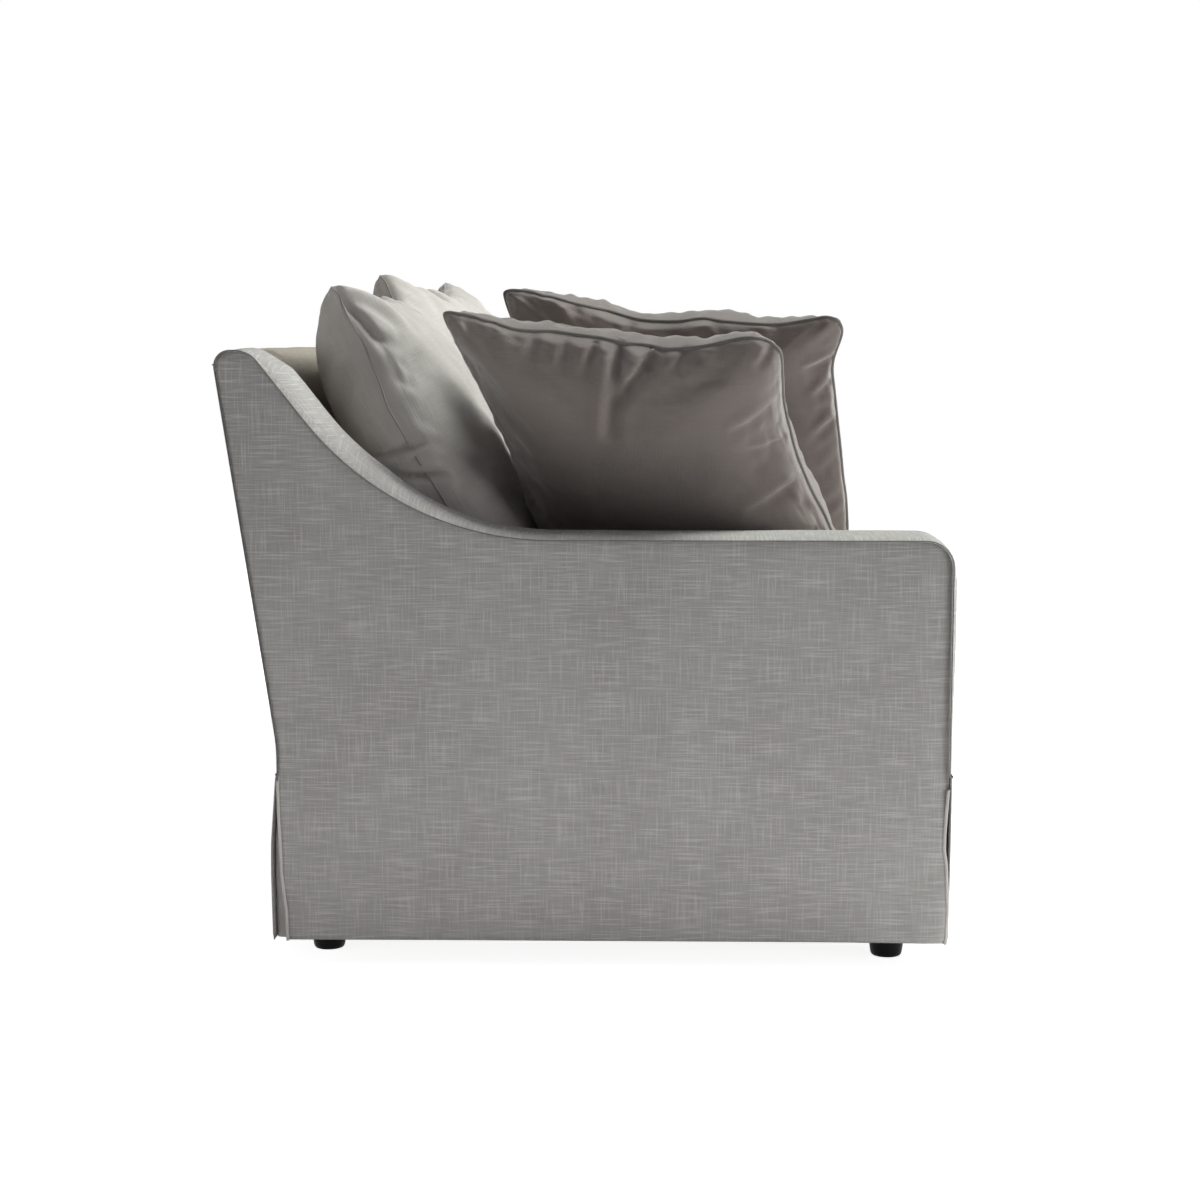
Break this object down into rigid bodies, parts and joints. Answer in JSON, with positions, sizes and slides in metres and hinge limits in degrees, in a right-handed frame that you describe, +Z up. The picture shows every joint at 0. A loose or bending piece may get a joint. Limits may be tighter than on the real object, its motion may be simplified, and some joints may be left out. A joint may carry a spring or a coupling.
{
  "type": "sofa",
  "caption": "Skirted upholstered sofa with low scooped arms, a raked straight back, loose seat and back cushions and two throw pillows against one arm.",
  "frame": {"origin": "centre of the footprint of the whole object, on the floor", "axes": "+X along the seat to the sitter's left as the front is faced from outside to its right, -Y out of the front, +Z up"},
  "size_m": [2.08, 1.044, 1.0212],
  "materials": {
    "body_linen": "matte",
    "cushion_linen": "matte",
    "pillow_linen": "matte",
    "deck_cloth": "matte",
    "dust_cloth": "matte",
    "hardwood": "satin",
    "plywood": "matte",
    "spring_wire": "satin",
    "foot": "satin"
  },
  "bodies": {
    "base": {"arm_cover_left": "body_linen", "arm_cover_right": "body_linen", "arm_front_post_left": "hardwood", "arm_front_post_right": "hardwood", "arm_rear_post_left": "hardwood", "arm_rear_post_right": "hardwood", "arm_top_board_left": "plywood", "arm_top_board_right": "plywood", "back_cover": "body_linen", "back_lower_rail": "hardwood", "back_post_left": "plywood", "back_post_right": "plywood", "back_top_rail": "hardwood", "back_upright_left": "plywood", "back_upright_right": "plywood", "corner_block_front_left": "hardwood", "corner_block_front_right": "hardwood", "corner_block_rear_left": "hardwood", "corner_block_rear_right": "hardwood", "corner_pleat_front_left": "body_linen", "corner_pleat_front_right": "body_linen", "corner_pleat_rear_left": "body_linen", "corner_pleat_rear_right": "body_linen", "cross_stretcher_left": "hardwood", "cross_stretcher_right": "hardwood", "dust_cover": "dust_cloth", "foot_front_left": "foot", "foot_front_right": "foot", "foot_rear_left": "foot", "foot_rear_right": "foot", "front_border": "body_linen", "front_seat_rail": "hardwood", "front_skirt": "body_linen", "outside_back_panel": "body_linen", "rear_base_rail": "hardwood", "rear_skirt": "body_linen", "rear_spring_rail": "hardwood", "seat_deck": "deck_cloth", "seat_spring_01": "spring_wire", "seat_spring_02": "spring_wire", "seat_spring_03": "spring_wire", "seat_spring_04": "spring_wire", "seat_spring_05": "spring_wire", "seat_spring_06": "spring_wire", "seat_spring_07": "spring_wire", "seat_spring_08": "spring_wire", "seat_spring_09": "spring_wire", "seat_spring_10": "spring_wire", "seat_spring_11": "spring_wire", "seat_spring_12": "spring_wire", "side_rail_left": "hardwood", "side_rail_right": "hardwood"},
    "seat_left": {"seat_cushion_left": "cushion_linen"},
    "back_left": {"back_cushion_left": "cushion_linen"},
    "seat_middle": {"seat_cushion_middle": "cushion_linen"},
    "back_middle": {"back_cushion_middle": "cushion_linen"},
    "seat_right": {"seat_cushion_right": "cushion_linen"},
    "back_right": {"back_cushion_right": "cushion_linen"},
    "pillow_near": {"throw_pillow_near": "pillow_linen"},
    "pillow_far": {"throw_pillow_far": "pillow_linen"}
  },
  "joints": [
    {"name": "seat_cushion_left_lift", "type": "slide", "parent": "base", "child": "seat_left", "axis": [0, 0, 1], "range_m": [0, 0.58]},
    {"name": "back_cushion_left_lift", "type": "slide", "parent": "seat_left", "child": "back_left", "axis": [0, 0, 1], "range_m": [0, 0.45]},
    {"name": "seat_cushion_middle_lift", "type": "slide", "parent": "base", "child": "seat_middle", "axis": [0, 0, 1], "range_m": [0, 0.58]},
    {"name": "back_cushion_middle_lift", "type": "slide", "parent": "seat_middle", "child": "back_middle", "axis": [0, 0, 1], "range_m": [0, 0.45]},
    {"name": "seat_cushion_right_lift", "type": "slide", "parent": "base", "child": "seat_right", "axis": [0, 0, 1], "range_m": [0, 0.58]},
    {"name": "back_cushion_right_lift", "type": "slide", "parent": "seat_right", "child": "back_right", "axis": [0, 0, 1], "range_m": [0, 0.45]},
    {"name": "throw_pillow_near_lift", "type": "slide", "parent": "back_left", "child": "pillow_near", "axis": [0, 0, 1], "range_m": [0, 0.35]},
    {"name": "throw_pillow_far_lift", "type": "slide", "parent": "pillow_near", "child": "pillow_far", "axis": [0, 0, 1], "range_m": [0, 0.35]}
  ]
}
